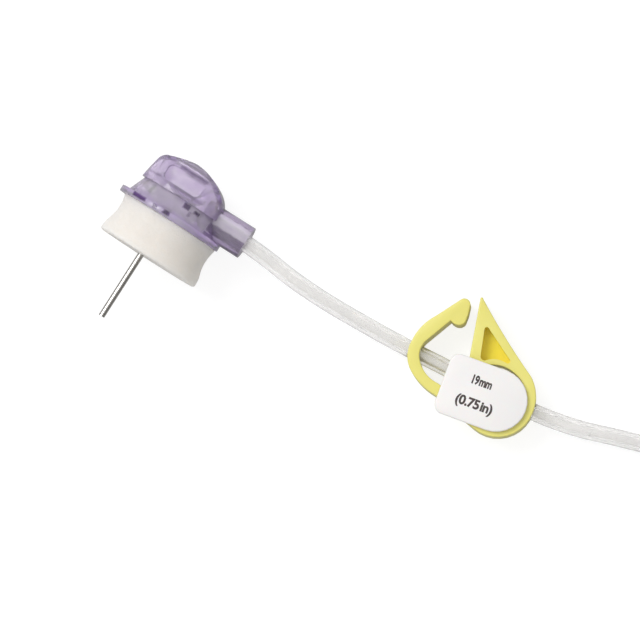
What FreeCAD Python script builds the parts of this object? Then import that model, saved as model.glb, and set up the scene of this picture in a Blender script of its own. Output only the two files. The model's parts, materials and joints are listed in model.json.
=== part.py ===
import FreeCAD, Part
import math
import os

# Right-angle infusion needle set for an implanted port
# The hub lies on its side: the needle points along -Y, the dome along +Y, the tube leaves along +X
# Lengths are in millimetres, heights in the hub are measured along its axis from the flange's underside

V = FreeCAD.Vector
os.makedirs("parts", exist_ok=True)

# Hub base: flange, skirt, needle boss and tube socket in one moulding
flange_r = 9.4
flange_t = 1.0
skirt_foot_r = 8.2
skirt_top_r = 7.0
skirt_top = 4.0
skirt_bore_r = 6.3
hub_wall = 1.0
floor_t = 1.25
boss_r = 1.6
boss_cover = 1.25
rib_t = 0.8
rib_gap = 0.5
rib_angles = (48, 132, 180, 228, 312)
socket_r = 2.8
socket_axis = 3.75
socket_root = 4.2
socket_end = 12.8

# Hub cap: a thin dome with a grip hollow on each side
cap_lip = 0.56
crown = 10.24
crown_u = -0.8
shoulder_u = 6.6
shoulder = 7.8
slope_u = 6.6
slope_foot = 6.4
cheek_w = 6.0
cheek = 6.8
cap_top_r = 6.6
cap_bore_r = 6.1
grip_left = 4.0
grip_right = 2.8
grip_low = 5.3
grip_high = 8.05
grip_half = 4.65
grip_round = 0.8

# Cannula: one steel tube, bent square inside the hub
needle_r = 0.535
lumen_r = 0.37
needle_u = -0.8
needle_reach = 19.0
bend_r = 1.6

# Foam pad under the flange
pad_t = 7.0
pad_r = 8.8
pad_u = 0.35

# Extension tube
tube_r = 1.4
tube_start = 6.6
tube_lead = 4.2

# Clearances
bond_gap = 0.05
pass_gap = 0.5
slit_gap = 0.05
cover_gap = 0.3
luer_gap = 0.05

# Pinch clamp, in its own frame: x along the tube, y across it, lying on its side face
# Its outline and the places where it bends are drawn at one length and scaled to the clamp's own
clamp_at = (44.1, 3.6)
clamp_angle = 5.3
clamp_length = 22.9
clamp_drawn_length = 24.2
clamp_depth = 7.6
lever_pivot = (20.2, 5.7)
lever_slit_angle = 240
lever_notch = 30
catch_pivot = (0.75, -1.75)
catch_slit_angle = 28
slit_reach = 3.2
jaw_x = 13.1
jaw_top = -3.95
pocket_web = 2.0

# Size tag on the clamp's upper side face
tag_t = 0.9
tag_angle = 7
tag_left = 7.45
tag_end_x = 16.7
tag_end_y = -1.17
tag_end_r = 5.13
tag_corner = 1.6

# Put-away loop of tube and the luer connector at its end
loop_r = 13.5
tail_length = 11.4
luer_bond = 5.0
luer_grip_r = 4.7
luer_wing_t = 1.2
luer_flange_r = 3.9
luer_grip_length = 4.0
luer_length = 8.5
luer_r = 3.05
luer_lug_r = 3.85
luer_lug_t = 0.9
luer_lug_w = 3.0
luer_mouth_r = 2.135
luer_depth = 7.5
luer_taper = 0.03
groove_count = 8
groove_w = 1.2
groove_depth = 0.35

# Cap on the luer connector
cap_sleeve_gap = 0.15
cap_wall = 0.7
cap_sleeve = 6.0
cap_plug = 4.0
cap_end_t = 1.2

# Derived sizes
axis_z = flange_r
cap_rim_r = skirt_top_r + cap_lip
tube_mid_z = clamp_depth / 2
tail_z = luer_grip_r
origin_shift = V((flange_r - socket_end) / 2, (needle_reach - crown) / 2, 0)


def outline(start, *steps):
    """Closed wire in the XY plane: a step is a point, or an arc's middle and end."""
    edges = []
    at = start
    for step in steps + (start,):
        if isinstance(step[0], tuple):
            middle, end = step
            edges.append(Part.Arc(V(*at), V(*middle), V(*end)).toShape())
        else:
            end = step
            if V(*at).distanceToPoint(V(*end)) < 1e-6:
                continue
            edges.append(Part.LineSegment(V(*at), V(*end)).toShape())
        at = end
    return Part.Wire(edges)


def prism(wire, low, high):
    """Solid between two heights over a closed wire."""
    solid = Part.Face(wire).extrude(V(0, 0, high - low))
    solid.translate(V(0, 0, low))
    return solid


def lathe(wire, axis=V(0, 1, 0)):
    """Solid turned about an axis through the origin."""
    return Part.Face(wire).revolve(V(0, 0, 0), axis, 360)


def on_hub_axis(shape):
    """Raise a shape that was built about the Y axis to the hub's axis."""
    shape.translate(V(0, 0, axis_z))
    return shape


def pipe(path, radius):
    """Round bar of one radius along a smooth path."""
    first = path.OrderedEdges[0]
    start = first.valueAt(first.FirstParameter)
    circle = Part.Circle(start, first.tangentAt(first.FirstParameter), radius)
    return path.makePipeShell([Part.Wire(circle.toShape())], True, False)


def cannula_path(start_v):
    """Straight up the needle, a quarter bend, then along the socket."""
    rise = socket_axis - bend_r
    middle = bend_r * (1 - math.cos(math.pi / 4))
    bend_start = V(needle_u, rise, axis_z)
    bend_middle = V(needle_u + middle, socket_axis - middle, axis_z)
    bend_end = V(needle_u + bend_r, socket_axis, axis_z)
    return Part.Wire([
        Part.LineSegment(V(needle_u, start_v, axis_z), bend_start).toShape(),
        Part.Arc(bend_start, bend_middle, bend_end).toShape(),
        Part.LineSegment(bend_end, V(tube_start, socket_axis, axis_z)).toShape(),
    ])


def cannula():
    path = cannula_path(-needle_reach)
    return pipe(path, needle_r).cut(pipe(path, lumen_r))


def cannula_slot():
    """Bores for the cannula's two ends and the open slot in the boss where its bend is laid in."""
    half = needle_r + bond_gap
    rise = socket_axis - bend_r
    bend_end = needle_u + bend_r
    down = Part.makeCylinder(half, rise + half, V(needle_u, -half, axis_z), V(0, 1, 0))
    along = Part.makeCylinder(half, tube_start - bend_end, V(bend_end, socket_axis, axis_z), V(1, 0, 0))
    bend = Part.makeBox(bend_r + half, skirt_top + boss_cover, 2 * half, V(needle_u - half, rise, axis_z - half))
    lead = Part.makeBox(socket_root - bend_end, skirt_top + boss_cover, 2 * half,
                        V(bend_end, socket_axis - half, axis_z - half))
    return down.fuse([along, bend, lead])


def hub_base():
    shell = lathe(outline((0, 0), (flange_r, 0), (flange_r, flange_t), (skirt_foot_r, flange_t),
                          (skirt_top_r, skirt_top), (skirt_bore_r, skirt_top), (skirt_bore_r, floor_t),
                          (0, floor_t)))
    boss_top = socket_axis + boss_cover
    boss = Part.makeCylinder(boss_r, boss_top - flange_t / 2, V(needle_u, flange_t / 2, 0), V(0, 1, 0))
    spine = Part.makeBox(socket_root + 1 - needle_u, boss_top - boss_cover / 2 - flange_t / 2, 2 * boss_cover,
                         V(needle_u, flange_t / 2, -boss_cover))
    socket = Part.makeCylinder(socket_r, socket_end - socket_root,
                               V(socket_root, socket_axis, 0), V(1, 0, 0))
    base = shell.fuse(boss).fuse(spine).fuse(socket)
    rib_end_r = (skirt_bore_r + skirt_top_r) / 2
    limit = lathe(outline((0, flange_t / 2), (rib_end_r, flange_t / 2), (rib_end_r, skirt_top), (0, skirt_top)))
    for angle in rib_angles:
        rib = Part.makeBox(skirt_foot_r, skirt_top - rib_gap - flange_t / 2, rib_t, V(0, flange_t / 2, -rib_t / 2))
        rib.rotate(V(0, 0, 0), V(0, 1, 0), angle)
        base = base.fuse(rib.common(limit))
    base = on_hub_axis(base)
    bore_r = tube_r + bond_gap
    bore = Part.makeCylinder(bore_r, socket_end - tube_start + 1,
                             V(tube_start, socket_axis, axis_z), V(1, 0, 0))
    return base.cut(bore).cut(cannula_slot())


def cap_form(inset):
    """The dome's outer form, or its hollow when it is moved in by a wall."""
    below = skirt_top - 3 * hub_wall
    side = outline((-cap_rim_r, below), (-cap_rim_r, skirt_top), (-shoulder_u, shoulder),
                   ((-6.1, 8.45), (-5.0, 9.0)), ((-2.9, 9.75), (crown_u, crown)),
                   ((2.1, 9.73), (4.8, 8.4)), ((6.0, 7.3), (slope_u, slope_foot)),
                   (cap_rim_r, skirt_top), (cap_rim_r, below))
    end = outline((-cap_rim_r, below), (-cap_rim_r, skirt_top), (-cheek_w, cheek),
                  ((-4.15, 9.15), (0, crown + 0.05)), ((4.15, 9.15), (cheek_w, cheek)),
                  (cap_rim_r, skirt_top), (cap_rim_r, below))
    if inset:
        side = side.makeOffset2D(-inset)
        end = end.makeOffset2D(-inset)
    form = prism(side, -cap_rim_r, cap_rim_r)
    across = prism(end, -cap_rim_r, cap_rim_r)
    across.rotate(V(0, 0, 0), V(0, 1, 0), 90)
    height = crown - skirt_top + 1
    if inset:
        limit = Part.makeCylinder(cap_bore_r, height, V(0, skirt_top, 0), V(0, 1, 0))
    else:
        limit = Part.makeCone(cap_rim_r, cap_top_r, height, V(0, skirt_top, 0), V(0, 1, 0))
    form = form.common([across]).common(limit)
    for turn in (0, 180):
        hollow = Part.makeBox(grip_left + grip_right + 2 * inset, grip_high - grip_low + 2 * inset, cap_rim_r,
                              V(-grip_left - inset, grip_low - inset, grip_half - inset))
        uprights = [e for e in hollow.Edges if abs(e.tangentAt(e.FirstParameter).z) > 0.9]
        hollow = hollow.makeFillet(grip_round + inset, uprights)
        if turn:
            hollow = hollow.mirror(V(0, 0, 0), V(0, 0, 1))
        form = form.cut(hollow)
    return form


def hub_cap():
    cap = on_hub_axis(cap_form(0).cut(cap_form(hub_wall)))
    notch = Part.makeCylinder(socket_r + bond_gap, socket_end, V(0, socket_axis, axis_z), V(1, 0, 0))
    return cap.cut(notch)


def foam_pad():
    pad = Part.makeCylinder(pad_r, pad_t, V(pad_u, -pad_t, 0), V(0, 1, 0))
    hole = Part.makeCylinder(needle_r + bond_gap, pad_t, V(needle_u, -pad_t, 0), V(0, 1, 0))
    return on_hub_axis(pad.cut(hole))


def in_clamp(shape):
    """Place a shape from the clamp's own frame."""
    shape.rotate(V(0, 0, 0), V(0, 0, 1), clamp_angle)
    shape.translate(V(clamp_at[0], clamp_at[1], 0))
    return shape


def clamp_point(x, z, y=0):
    """A point of the clamp's own frame as a place in the set."""
    turn = math.radians(clamp_angle)
    return V(clamp_at[0] + x * math.cos(turn) - y * math.sin(turn),
             clamp_at[1] + x * math.sin(turn) + y * math.cos(turn), z)


def drawn(step):
    """A point or a pair of points of the clamp's drawing, at the clamp's own size."""
    if isinstance(step[0], tuple):
        return tuple(drawn(point) for point in step)
    return tuple(value * clamp_length / clamp_drawn_length for value in step)


def clamp_outline():
    """The whole clamp as it is moulded, from the catch round the bow and the ring to the lever."""
    steps = (
        (0.0, 1.3),
        ((0.75, -1.75), (2.8, -3.7)), ((5.2, -4.75), (7.8, -5.2)),
        (16.3, -7.25), ((22.0, -5.9), (24.2, -0.2)),
        ((23.45, 2.5), (21.1, 5.2)), ((14.4, 9.0), (7.7, 13.35)),
        ((7.35, 13.5), (7.25, 13.1)), (10.35, 2.7),
        ((11.2, 1.65), (12.3, 2.3)), ((15.1, 4.3), (18.9, 4.2)),
        ((21.0, 2.8), (21.9, -0.2)), ((21.1, -3.7), (18.4, -5.2)),
        (15.4, -4.95), (jaw_x + 1.0, -4.6),
        ((jaw_x, jaw_top), (jaw_x - 1.0, -4.15)),
        (7.5, -3.05), ((4.3, -2.2), (2.5, -0.3)),
        ((2.15, 1.0), (2.35, 2.3)), (4.6, 7.5),
        ((4.97, 7.25), (5.45, 7.15)), ((6.45, 7.45), (6.9, 8.3)),
        (6.75, 9.8), (6.2, 11.4),
        ((5.4, 12.05), (4.3, 11.5)), (1.8, 7.1),
        ((0.4, 4.3), (0.0, 1.3)),
    )
    return outline(*[drawn(step) for step in steps])


def slit(pivot, angle, opening=0):
    """Cut across a strap from the corner it bends about, widening by an angle."""
    near = slit_gap / 2
    far = near + slit_reach * math.tan(math.radians(opening / 2))
    cut = prism(outline((-slit_reach / 5, -near), (0, -near), (slit_reach, -far), (slit_reach, far),
                        (0, near), (-slit_reach / 5, near)), -1, clamp_depth + 1)
    cut.rotate(V(0, 0, 0), V(0, 0, 1), angle)
    cut.translate(V(*drawn(pivot), 0))
    return cut


def clamp_pieces():
    """Body, catch and lever of the clamp, parted at the two places where it bends."""
    whole = prism(clamp_outline(), 0, clamp_depth)
    holes = Part.makeCylinder(tube_r + pass_gap, clamp_length + 2 * slit_reach,
                              V(-slit_reach, 0, tube_mid_z), V(1, 0, 0))
    lever_slit = slit(lever_pivot, lever_slit_angle, lever_notch)
    catch_slit = slit(catch_pivot, catch_slit_angle)
    cut = whole.cut([holes, lever_slit, catch_slit])
    by_height = sorted(cut.Solids, key=lambda solid: solid.CenterOfMass.y)
    body = by_height[0]
    catch, lever = sorted(by_height[1:], key=lambda solid: solid.CenterOfMass.x)
    slab = Part.makeBox(2 * clamp_length, 2 * clamp_length, clamp_depth - 2 * cover_gap,
                        V(-clamp_length / 2, -clamp_length / 2, cover_gap))
    lever = lever.common(slab)
    steps = ((10.75, 9.35), ((10.3, 9.2), (10.25, 8.8)), (11.7, 4.5), ((12.2, 3.95), (12.9, 4.1)),
             ((14.4, 5.1), (16.2, 5.3)), ((16.75, 5.6), (16.55, 6.1)))
    pocket = outline(*[drawn(step) for step in steps])
    for low in (-1, clamp_depth / 2 + pocket_web / 2):
        lever = lever.cut(prism(pocket, low, low + clamp_depth / 2 + 1 - pocket_web / 2))
    return in_clamp(body), in_clamp(catch), in_clamp(lever)


def size_tag():
    """Flat plate with two rounded corners and a round end."""
    top = tag_end_y + tag_end_r
    foot = tag_end_y - tag_end_r
    right = tag_end_x + tag_end_r
    inner = tag_corner * (1 - math.sqrt(0.5))
    plate = prism(outline(
        (tag_left + tag_corner, foot), (tag_end_x, foot), ((right, tag_end_y), (tag_end_x, top)),
        (tag_left + tag_corner, top), ((tag_left + inner, top - inner), (tag_left, top - tag_corner)),
        (tag_left, foot + tag_corner), ((tag_left + inner, foot + inner), (tag_left + tag_corner, foot)),
    ), clamp_depth, clamp_depth + tag_t)
    plate.rotate(V(tag_end_x, tag_end_y, 0), V(0, 0, 1), tag_angle)
    return in_clamp(plate)


def tube_path(points):
    """Straight runs joined by tangent arcs, each as large as its two runs allow."""
    edges = []
    at = points[0]
    for before, corner, after in zip(points, points[1:], points[2:]):
        back = before - corner
        ahead = after - corner
        reach = 0.45 * min(back.Length, ahead.Length)
        half_turn = (math.pi - back.getAngle(ahead)) / 2
        radius = reach / math.tan(half_turn)
        back.normalize()
        ahead.normalize()
        start = corner + back * reach
        end = corner + ahead * reach
        inward = (back + ahead).normalize()
        centre = corner + inward * (radius / math.cos(half_turn))
        middle = centre - inward * radius
        edges.append(Part.LineSegment(at, start).toShape())
        edges.append(Part.Arc(start, middle, end).toShape())
        print("tube bend radius", round(radius, 1), "turn", round(math.degrees(2 * half_turn), 1))
        at = end
    edges.append(Part.LineSegment(at, points[-1]).toShape())
    return Part.Wire(edges)


# Route of the tube from inside the socket to the put-away loop
tube_route = [
    V(tube_start, socket_axis, axis_z),
    V(14.6, socket_axis, axis_z),
    V(24.75, 2.5, 7.9),
    clamp_point(-tube_lead, tube_mid_z),
    clamp_point(clamp_length + tube_lead, tube_mid_z),
    V(83.6, 10.8, tube_r),
    V(104.0, 17.0, tube_r),
]
loop_entry = tube_route[-1]
loop_heading = math.atan2(loop_entry.y - tube_route[-2].y, loop_entry.x - tube_route[-2].x)
loop_centre_foot = V(loop_entry.x + math.sin(loop_heading) * loop_r,
                     loop_entry.y - math.cos(loop_heading) * loop_r, 0)


def extension_tube():
    path = tube_path(tube_route)
    tube = pipe(path, tube_r)
    print("tube length", round(path.Length, 2), "volume", round(tube.Volume, 2),
          "section times length", round(math.pi * tube_r ** 2 * path.Length, 2))
    return tube


def tube_coil():
    """Outer shape of the one loop of tube, which climbs over its own start."""
    top = tail_z + tube_r
    ring = Part.makeCylinder(loop_r + tube_r, top, loop_centre_foot)
    ring = ring.cut(Part.makeCylinder(loop_r - tube_r, top, loop_centre_foot))
    print("loop length", round(2 * math.pi * loop_r, 1))
    return ring


def on_tail(shape, along):
    """Place a shape that was built along +X on the tail of the tube."""
    shape.translate(V(along, 0, 0))
    shape.rotate(V(0, 0, 0), V(0, 0, 1), math.degrees(loop_heading))
    shape.translate(V(loop_entry.x, loop_entry.y, tail_z))
    return shape


def tube_tail():
    return on_tail(Part.makeCylinder(tube_r, tail_length + luer_bond, V(0, 0, 0), V(1, 0, 0)), 0)


def grooved(bar, start, length, radius):
    """Cut finger grooves along a round grip."""
    cuts = []
    for number in range(groove_count):
        groove = Part.makeBox(length, groove_w, 2 * groove_depth, V(start, -groove_w / 2, radius - groove_depth))
        groove.rotate(V(0, 0, 0), V(1, 0, 0), (number + 0.5) * 360 / groove_count)
        cuts.append(groove)
    return bar.cut(cuts)


def luer_connector():
    """Female luer lock: barrel with two finger wings, a stop flange and a tapered mouth with two lugs."""
    grip_end = luer_bond + luer_grip_length
    mouth = grip_end + luer_length
    floor = mouth - luer_depth
    floor_r = luer_mouth_r - luer_taper * luer_depth
    body = Part.makeCylinder(luer_r, mouth, V(0, 0, 0), V(1, 0, 0))
    wings = Part.makeBox(luer_grip_length, luer_wing_t, 2 * luer_grip_r, V(luer_bond, -luer_wing_t / 2, -luer_grip_r))
    flange = Part.makeCylinder(luer_flange_r, luer_wing_t, V(grip_end - luer_wing_t, 0, 0), V(1, 0, 0))
    ring = Part.makeCylinder(luer_lug_r, luer_lug_t, V(mouth - luer_lug_t, 0, 0), V(1, 0, 0))
    band = Part.makeBox(luer_lug_t, 2 * luer_lug_r, luer_lug_w, V(mouth - luer_lug_t, -luer_lug_r, -luer_lug_w / 2))
    body = body.fuse([wings, flange, ring.common(band)]).removeSplitter()
    seat = Part.makeCylinder(tube_r + bond_gap, luer_bond, V(0, 0, 0), V(1, 0, 0))
    way = Part.makeCylinder(lumen_r * 2, mouth, V(0, 0, 0), V(1, 0, 0))
    taper = Part.makeCone(floor_r, luer_mouth_r, luer_depth, V(floor, 0, 0), V(1, 0, 0))
    return on_tail(body.cut([seat, way, taper]), tail_length)


def luer_cap():
    """Cap whose sleeve covers the lugs and whose plug closes the tapered mouth."""
    mouth = luer_bond + luer_grip_length + luer_length
    end = mouth + cap_sleeve_gap
    inner_r = luer_lug_r + cap_sleeve_gap
    outer_r = inner_r + cap_wall
    plug_r = luer_mouth_r - luer_taper * cap_plug - luer_gap
    cap = lathe(outline(
        (end - cap_plug, 0), (end - cap_plug, plug_r), (end, plug_r), (end, inner_r), (end - cap_sleeve, inner_r),
        (end - cap_sleeve, outer_r), (end + cap_end_t, outer_r), (end + cap_end_t, 0),
    ), V(1, 0, 0))
    cap = grooved(cap, end - cap_sleeve, cap_sleeve + cap_end_t, outer_r)
    return on_tail(cap, tail_length)


def build():
    """Every piece by its name."""
    clamp_body, clamp_catch, clamp_lever = clamp_pieces()
    return {
        "hub_base": hub_base(),
        "hub_cap": hub_cap(),
        "cannula": cannula(),
        "foam_pad": foam_pad(),
        "extension_tube": extension_tube(),
        "tube_coil": tube_coil(),
        "tube_tail": tube_tail(),
        "clamp_body": clamp_body,
        "clamp_catch": clamp_catch,
        "clamp_lever": clamp_lever,
        "size_tag": size_tag(),
        "luer_connector": luer_connector(),
        "luer_cap": luer_cap(),
    }


for name, shape in build().items():
    shape.translate(origin_shift)
    shape.exportStep("parts/" + name + ".step")
    box = shape.BoundBox
    print(name, len(shape.Solids), shape.isValid(), round(shape.Volume, 1),
          [round(value, 2) for value in (box.XMin, box.XMax, box.YMin, box.YMax, box.ZMin, box.ZMax)])
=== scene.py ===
import json
import math

import bmesh
import bpy
from bpy.props import FloatProperty, FloatVectorProperty, IntProperty, PointerProperty, StringProperty
from mathutils import Matrix, Vector, noise


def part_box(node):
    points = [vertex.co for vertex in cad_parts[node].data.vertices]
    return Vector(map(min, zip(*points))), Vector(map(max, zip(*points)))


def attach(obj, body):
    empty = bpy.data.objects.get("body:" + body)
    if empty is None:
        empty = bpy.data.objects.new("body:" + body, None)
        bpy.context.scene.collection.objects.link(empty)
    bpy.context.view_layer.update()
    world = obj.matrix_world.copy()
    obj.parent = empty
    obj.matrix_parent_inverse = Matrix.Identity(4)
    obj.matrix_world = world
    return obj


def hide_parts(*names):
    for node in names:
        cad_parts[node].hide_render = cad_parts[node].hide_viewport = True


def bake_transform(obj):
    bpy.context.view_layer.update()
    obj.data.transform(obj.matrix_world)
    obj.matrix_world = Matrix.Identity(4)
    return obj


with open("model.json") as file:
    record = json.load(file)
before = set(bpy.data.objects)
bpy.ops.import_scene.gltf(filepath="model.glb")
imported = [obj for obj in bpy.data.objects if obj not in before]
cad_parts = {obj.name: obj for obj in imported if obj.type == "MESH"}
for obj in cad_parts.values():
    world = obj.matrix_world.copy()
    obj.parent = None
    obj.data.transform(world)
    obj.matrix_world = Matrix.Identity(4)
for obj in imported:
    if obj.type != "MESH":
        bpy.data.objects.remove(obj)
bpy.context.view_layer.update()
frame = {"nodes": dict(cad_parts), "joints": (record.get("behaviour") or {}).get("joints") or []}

bl_info = {
    "name": "Port Needle Set",
    "version": (1, 0, 0),
    "blender": (4, 5, 0),
    "location": "View3D > Sidebar > Needle Set",
    "description": "Dresses a right-angle port needle set: hub, pad, tube, pinch clamp and size tag",
    "category": "Object",
}

MM = 0.001

# Places taken from the frame
HUB_LOW, HUB_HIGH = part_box("hub_base")
PAD_LOW, PAD_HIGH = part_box("foam_pad")
TAG_LOW, TAG_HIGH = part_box("size_tag")
BAR_LOW, BAR_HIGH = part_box("clamp_body")
FLANGE_RADIUS = (HUB_HIGH.z - HUB_LOW.z) / 2
HUB_AXIS = Vector((HUB_LOW.x + FLANGE_RADIUS, PAD_HIGH.y, FLANGE_RADIUS))
JOINTS = {joint["name"]: joint for joint in frame["joints"]}
CLAMP_ALONG = Vector(JOINTS["clamp_slide"]["axis"])
CLAMP_ACROSS = Vector((-CLAMP_ALONG.y, CLAMP_ALONG.x, 0))
CLAMP_ANGLE = math.atan2(CLAMP_ALONG.y, CLAMP_ALONG.x)
CLAMP_DEPTH = BAR_HIGH.z - BAR_LOW.z

# The clamp's outline is drawn at one length and scaled to the clamp's own; its hinge places the clamp's frame
CLAMP_LENGTH = 22.9
CLAMP_DRAWN_LENGTH = 24.2
CLAMP_SCALE = CLAMP_LENGTH / CLAMP_DRAWN_LENGTH
LEVER_PIVOT = (20.2, 5.7)
CLAMP_ORIGIN = Vector(JOINTS["lever_close"]["pos_m"]) - (
    CLAMP_ALONG * LEVER_PIVOT[0] + CLAMP_ACROSS * LEVER_PIVOT[1]) * CLAMP_SCALE * MM


def on_hub(u, v):
    """A place in the hub's middle plane, in millimetres across and along its axis from the flange."""
    return HUB_AXIS + Vector((u, v, 0.0)) * MM


def on_clamp(x, y, z):
    """A place in the clamp's own frame, in millimetres, with z measured from the table."""
    spot = CLAMP_ORIGIN + (CLAMP_ALONG * x + CLAMP_ACROSS * y) * MM
    return Vector((spot.x, spot.y, z * MM))


def drawn(points):
    """Points of the clamp's drawing at the clamp's own size."""
    return [(x * CLAMP_SCALE, y * CLAMP_SCALE) for x, y in points]


class NeedleSetSettings(bpy.types.PropertyGroup):
    """Sizes and colours of the set that a user would change"""

    edge_round: FloatProperty(
        name="Edge Rounding", description="Radius on the clamp's moulded edges",
        default=0.2 * MM, min=0.05 * MM, max=0.25 * MM, unit="LENGTH")
    tag_round: FloatProperty(
        name="Tag Rounding", description="Radius on the size tag's edges",
        default=0.22 * MM, min=0.05 * MM, max=0.4 * MM, unit="LENGTH")
    tube_radius: FloatProperty(
        name="Tube Radius", description="Outer radius of the extension tube",
        default=1.4 * MM, unit="LENGTH")
    bore_radius: FloatProperty(
        name="Bore Radius", description="Radius of the extension tube's bore",
        default=0.65 * MM, unit="LENGTH")
    loop_radius: FloatProperty(
        name="Loop Radius", description="Radius of the put-away loop at the tube's middle",
        default=13.5 * MM, unit="LENGTH")
    pad_waist: FloatProperty(
        name="Pad Waist", description="Radius of the foam pad at its waist",
        default=8.42 * MM, unit="LENGTH")
    pad_foot: FloatProperty(
        name="Pad Foot", description="Radius of the foam pad at its foot",
        default=9.05 * MM, unit="LENGTH")
    size_text: StringProperty(
        name="Size", description="Needle length printed on the tag", default="19 mm")
    size_text_inches: StringProperty(
        name="Size in Inches", description="Needle length in inches printed on the tag", default="(0.75 in)")
    hub_colour: FloatVectorProperty(
        name="Hub", description="Tint of the clear hub", subtype="COLOR", size=4,
        min=0.0, max=1.0, default=(0.93, 0.90, 0.95, 1.0))
    foam_colour: FloatVectorProperty(
        name="Foam", description="Colour of the pad", subtype="COLOR", size=4,
        min=0.0, max=1.0, default=(0.77, 0.735, 0.69, 1.0))
    clamp_colour: FloatVectorProperty(
        name="Clamp", description="Colour of the pinch clamp", subtype="COLOR", size=4,
        min=0.0, max=1.0, default=(0.78, 0.725, 0.195, 1.0))
    tag_colour: FloatVectorProperty(
        name="Tag", description="Colour of the size tag", subtype="COLOR", size=4,
        min=0.0, max=1.0, default=(0.865, 0.84, 0.82, 1.0))
    ink_colour: FloatVectorProperty(
        name="Ink", description="Colour of the tag's print", subtype="COLOR", size=4,
        min=0.0, max=1.0, default=(0.035, 0.022, 0.020, 1.0))
    samples_per_arc: IntProperty(
        name="Arc Steps", description="Straight steps in each arc of the clamp's outline", default=10, min=4)


def settings():
    return bpy.context.scene.needle_set


# Shader building

WHITE = (1.0, 1.0, 1.0, 1.0)
SKIN_RELIEF = 0.02 * MM
PATCH_WANDER = 0.25 * MM


def set_inputs(tree, node, values):
    """Set a node's inputs to plain values, or link output sockets to them."""
    for name, value in values.items():
        if isinstance(value, bpy.types.NodeSocket):
            tree.links.new(value, node.inputs[name])
        else:
            node.inputs[name].default_value = value


def add(tree, kind, values=None, **options):
    """A shader node with its options and inputs set."""
    made = tree.nodes.new(kind)
    for name, value in options.items():
        setattr(made, name, value)
    set_inputs(tree, made, values or {})
    return made


def maths(tree, operation, *terms, clamp=False):
    """The output of a Math node over plain numbers and output sockets."""
    made = add(tree, "ShaderNodeMath", dict(enumerate(terms)), operation=operation, use_clamp=clamp)
    return made.outputs[0]


def mixed(tree, kind, share, first, second):
    """The output of a Mix node for FLOAT or RGBA: the first at a share of 0, the second at 1."""
    made = add(tree, "ShaderNodeMix", {"Factor": share, "A": first, "B": second}, data_type=kind)
    return made.outputs["Result"]


def ranged(tree, value, low, high, to_low, to_high):
    """The output of a Map Range node, held between its ends."""
    return add(tree, "ShaderNodeMapRange", {"Value": value, "From Min": low, "From Max": high,
                                            "To Min": to_low, "To Max": to_high}).outputs["Result"]


def cloud(tree, **values):
    """The output of a Noise Texture node, with its inputs by name."""
    return add(tree, "ShaderNodeTexNoise", values).outputs["Fac"]


def object_place(tree):
    return add(tree, "ShaderNodeTexCoord").outputs["Object"]


def new_group(name, inputs, outputs):
    """An empty node group with typed sockets, what comes in, and the node that it leaves by."""
    tree = bpy.data.node_groups.new(name, "ShaderNodeTree")
    for label, kind, default in inputs:
        tree.interface.new_socket(label, in_out="INPUT", socket_type=kind).default_value = default
    for label, kind in outputs:
        tree.interface.new_socket(label, in_out="OUTPUT", socket_type=kind)
    return tree, tree.nodes.new("NodeGroupInput").outputs, tree.nodes.new("NodeGroupOutput")


def moulded_skin_group():
    """Satin of a mould's wall: flow marks that change the roughness, and a fine grain for bump."""
    tree, given, leave = new_group(
        "Moulded Skin",
        [("Grain Scale", "NodeSocketFloat", 4000.0), ("Flow Scale", "NodeSocketFloat", 300.0),
         ("Roughness", "NodeSocketFloat", 0.3), ("Spread", "NodeSocketFloat", 0.1)],
        [("Roughness", "NodeSocketFloat"), ("Height", "NodeSocketFloat")])
    place = object_place(tree)
    stretched = add(tree, "ShaderNodeMapping", {"Vector": place, "Scale": (1.0, 1.0, 0.35)}).outputs["Vector"]
    flow = cloud(tree, Vector=stretched, Scale=given["Flow Scale"], Detail=3.0, Distortion=0.6)
    grain = cloud(tree, Vector=place, Scale=given["Grain Scale"], Detail=2.0)
    spread = maths(tree, "MULTIPLY", maths(tree, "SUBTRACT", flow, 0.5), given["Spread"])
    set_inputs(tree, leave, {"Roughness": maths(tree, "ADD", spread, given["Roughness"], clamp=True),
                             "Height": mixed(tree, "FLOAT", 0.7, flow, grain)})
    return tree


def colour_drift_group():
    """Slight drift of a colour over a piece, darker and richer in places."""
    tree, given, leave = new_group(
        "Colour Drift",
        [("Colour", "NodeSocketColor", (0.8, 0.8, 0.8, 1.0)),
         ("Second", "NodeSocketColor", (0.7, 0.7, 0.7, 1.0)),
         ("Scale", "NodeSocketFloat", 200.0), ("Amount", "NodeSocketFloat", 0.5)],
        [("Colour", "NodeSocketColor")])
    drift = cloud(tree, Vector=object_place(tree), Scale=given["Scale"], Detail=4.0, Roughness=0.55)
    share = maths(tree, "MULTIPLY", ranged(tree, drift, 0.35, 0.65, 0.0, 1.0), given["Amount"])
    set_inputs(tree, leave, {"Colour": mixed(tree, "RGBA", share, given["Colour"], given["Second"])})
    return tree


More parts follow.
